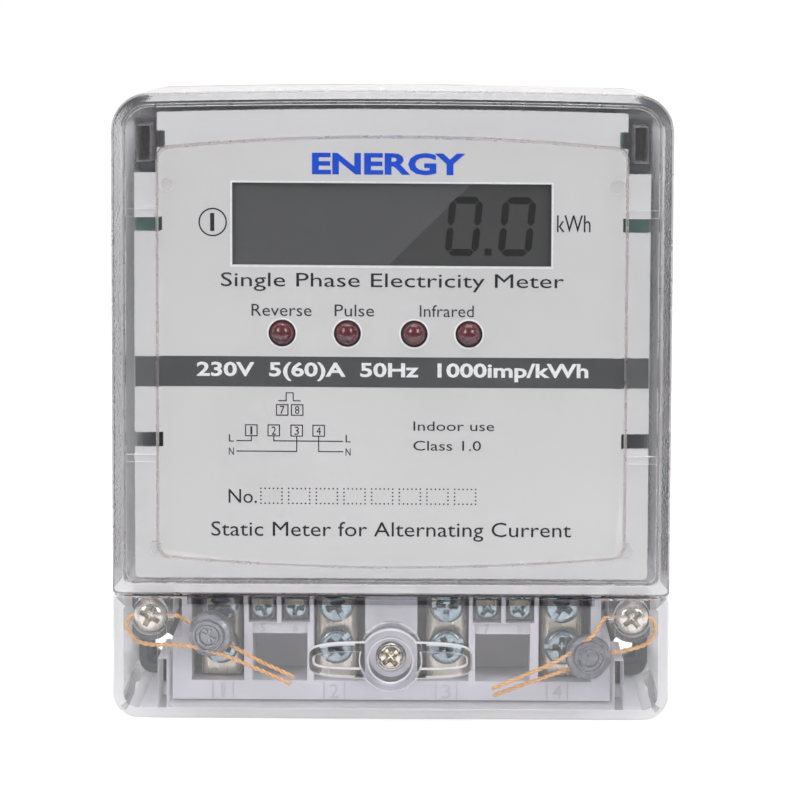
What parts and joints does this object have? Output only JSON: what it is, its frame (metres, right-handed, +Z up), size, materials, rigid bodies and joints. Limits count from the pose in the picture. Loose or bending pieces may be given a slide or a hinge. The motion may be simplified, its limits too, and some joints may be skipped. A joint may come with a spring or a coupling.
{
  "type": "electricity meter",
  "caption": "Wall-mounted single-phase electricity meter with a clear cover, display, pulse lamps, screw terminals under a removable clear cover, and sealed cover screws.",
  "frame": {"origin": "middle of the back face, which lies against the wall, at half the width and half the height", "axes": "+X to the right as the front is seen, +Y into the wall, +Z up; the front faces -Y"},
  "size_m": [0.112, 0.058, 0.1264],
  "materials": {
    "clear_polycarbonate": "clear moulded polycarbonate, partly frosted",
    "dark_grey_plastic": "moulded, fine texture",
    "light_grey_plastic": "moulded, satin",
    "nickel_plated_brass": "nickel plated",
    "zinc_plated_steel": "zinc plated, bluish",
    "bright_nickel": "bright nickel",
    "copper": null,
    "manganin": null,
    "silver_grey_plate": "printed silver-grey sheet",
    "green_circuit_board": "solder mask",
    "black_plastic": "moulded",
    "display_glass": "dark polarised display glass",
    "dark_red_epoxy": "tinted clear epoxy",
    "black_epoxy": "moulded epoxy",
    "yellow_plastic": "moulded box",
    "blue_sleeve": "shrunk sleeve",
    "blue_epoxy": "dipped epoxy",
    "dull_lead": null,
    "bare_copper_wire": null,
    "red_insulation": "plastic insulation",
    "black_insulation": "plastic insulation"
  },
  "bodies": {
    "meter": {"main_cover": "clear_polycarbonate", "base_case": "dark_grey_plastic", "terminal_block": "light_grey_plastic", "terminal_1": "nickel_plated_brass", "terminal_2": "nickel_plated_brass", "terminal_3": "nickel_plated_brass", "terminal_4": "nickel_plated_brass", "aux_terminal_5": "nickel_plated_brass", "aux_terminal_6": "nickel_plated_brass", "aux_terminal_7": "nickel_plated_brass", "aux_terminal_8": "nickel_plated_brass", "board_screw_1": "zinc_plated_steel", "board_screw_2": "zinc_plated_steel", "board_screw_3": "zinc_plated_steel", "board_screw_4": "zinc_plated_steel", "cover_screw_left": "bright_nickel", "cover_screw_right": "bright_nickel", "crystal": "bright_nickel", "line_conductor": "copper", "load_conductor": "copper", "neutral_link": "copper", "current_shunt": "manganin", "dial_plate": "silver_grey_plate", "circuit_board": "green_circuit_board", "lcd_holder": "black_plastic", "lcd_glass": "display_glass", "led_reverse": "dark_red_epoxy", "led_pulse": "dark_red_epoxy", "led_infrared_in": "dark_red_epoxy", "led_infrared_out": "dark_red_epoxy", "metering_chip": "black_epoxy", "microcontroller": "black_epoxy", "optocoupler": "black_epoxy", "supply_capacitor": "yellow_plastic", "electrolytic_capacitor": "blue_sleeve", "varistor": "blue_epoxy", "seal_left": "dull_lead", "seal_right": "dull_lead", "seal_wire_left_upper": "bare_copper_wire", "seal_wire_left_lower": "bare_copper_wire", "seal_wire_right_upper": "bare_copper_wire", "seal_wire_right_lower": "bare_copper_wire", "pulse_wire_plus": "red_insulation", "sense_wire_line": "red_insulation", "pulse_wire_minus": "black_insulation", "sense_wire_neutral": "black_insulation"},
    "terminal_cover": {"terminal_cover": "clear_polycarbonate"},
    "sealing_screw": {"sealing_screw": "bright_nickel"},
    "terminal_screw_1_upper": {"terminal_screw_1_upper": "zinc_plated_steel"},
    "terminal_screw_1_lower": {"terminal_screw_1_lower": "zinc_plated_steel"},
    "terminal_screw_2_upper": {"terminal_screw_2_upper": "zinc_plated_steel"},
    "terminal_screw_2_lower": {"terminal_screw_2_lower": "zinc_plated_steel"},
    "terminal_screw_3_upper": {"terminal_screw_3_upper": "zinc_plated_steel"},
    "terminal_screw_3_lower": {"terminal_screw_3_lower": "zinc_plated_steel"},
    "terminal_screw_4_upper": {"terminal_screw_4_upper": "zinc_plated_steel"},
    "terminal_screw_4_lower": {"terminal_screw_4_lower": "zinc_plated_steel"},
    "aux_screw_5": {"aux_screw_5": "zinc_plated_steel"},
    "aux_screw_6": {"aux_screw_6": "zinc_plated_steel"},
    "aux_screw_7": {"aux_screw_7": "zinc_plated_steel"},
    "aux_screw_8": {"aux_screw_8": "zinc_plated_steel"}
  },
  "joints": [
    {"name": "terminal_cover_slide", "type": "slide", "parent": "meter", "child": "terminal_cover", "axis": [0, -1, 0], "range_m": [0, 0.062]},
    {"name": "sealing_screw_spin", "type": "hinge", "parent": "terminal_cover", "child": "sealing_screw", "pos_m": [0, -0.052, -0.0511], "axis": [0, -1, 0], "continuous": true},
    {"name": "terminal_screw_1_upper_turn", "type": "hinge", "parent": "meter", "child": "terminal_screw_1_upper", "pos_m": [-0.0349, -0.0405, -0.042], "axis": [0, -1, 0], "range_deg": [0, 1440]},
    {"name": "terminal_screw_1_lower_turn", "type": "hinge", "parent": "meter", "child": "terminal_screw_1_lower", "pos_m": [-0.0349, -0.0405, -0.0506], "axis": [0, -1, 0], "range_deg": [0, 1440]},
    {"name": "terminal_screw_2_upper_turn", "type": "hinge", "parent": "meter", "child": "terminal_screw_2_upper", "pos_m": [-0.0113, -0.0405, -0.042], "axis": [0, -1, 0], "range_deg": [0, 1440]},
    {"name": "terminal_screw_2_lower_turn", "type": "hinge", "parent": "meter", "child": "terminal_screw_2_lower", "pos_m": [-0.0113, -0.0405, -0.0506], "axis": [0, -1, 0], "range_deg": [0, 1440]},
    {"name": "terminal_screw_3_upper_turn", "type": "hinge", "parent": "meter", "child": "terminal_screw_3_upper", "pos_m": [0.0113, -0.0405, -0.042], "axis": [0, -1, 0], "range_deg": [0, 1440]},
    {"name": "terminal_screw_3_lower_turn", "type": "hinge", "parent": "meter", "child": "terminal_screw_3_lower", "pos_m": [0.0113, -0.0405, -0.0506], "axis": [0, -1, 0], "range_deg": [0, 1440]},
    {"name": "terminal_screw_4_upper_turn", "type": "hinge", "parent": "meter", "child": "terminal_screw_4_upper", "pos_m": [0.0349, -0.0405, -0.042], "axis": [0, -1, 0], "range_deg": [0, 1440]},
    {"name": "terminal_screw_4_lower_turn", "type": "hinge", "parent": "meter", "child": "terminal_screw_4_lower", "pos_m": [0.0349, -0.0405, -0.0506], "axis": [0, -1, 0], "range_deg": [0, 1440]},
    {"name": "aux_screw_5_turn", "type": "hinge", "parent": "meter", "child": "aux_screw_5", "pos_m": [-0.0262, -0.0414, -0.0424], "axis": [0, -1, 0], "range_deg": [0, 1440]},
    {"name": "aux_screw_6_turn", "type": "hinge", "parent": "meter", "child": "aux_screw_6", "pos_m": [-0.0195, -0.0414, -0.0424], "axis": [0, -1, 0], "range_deg": [0, 1440]},
    {"name": "aux_screw_7_turn", "type": "hinge", "parent": "meter", "child": "aux_screw_7", "pos_m": [0.0195, -0.0414, -0.0424], "axis": [0, -1, 0], "range_deg": [0, 1440]},
    {"name": "aux_screw_8_turn", "type": "hinge", "parent": "meter", "child": "aux_screw_8", "pos_m": [0.0262, -0.0414, -0.0424], "axis": [0, -1, 0], "range_deg": [0, 1440]}
  ]
}
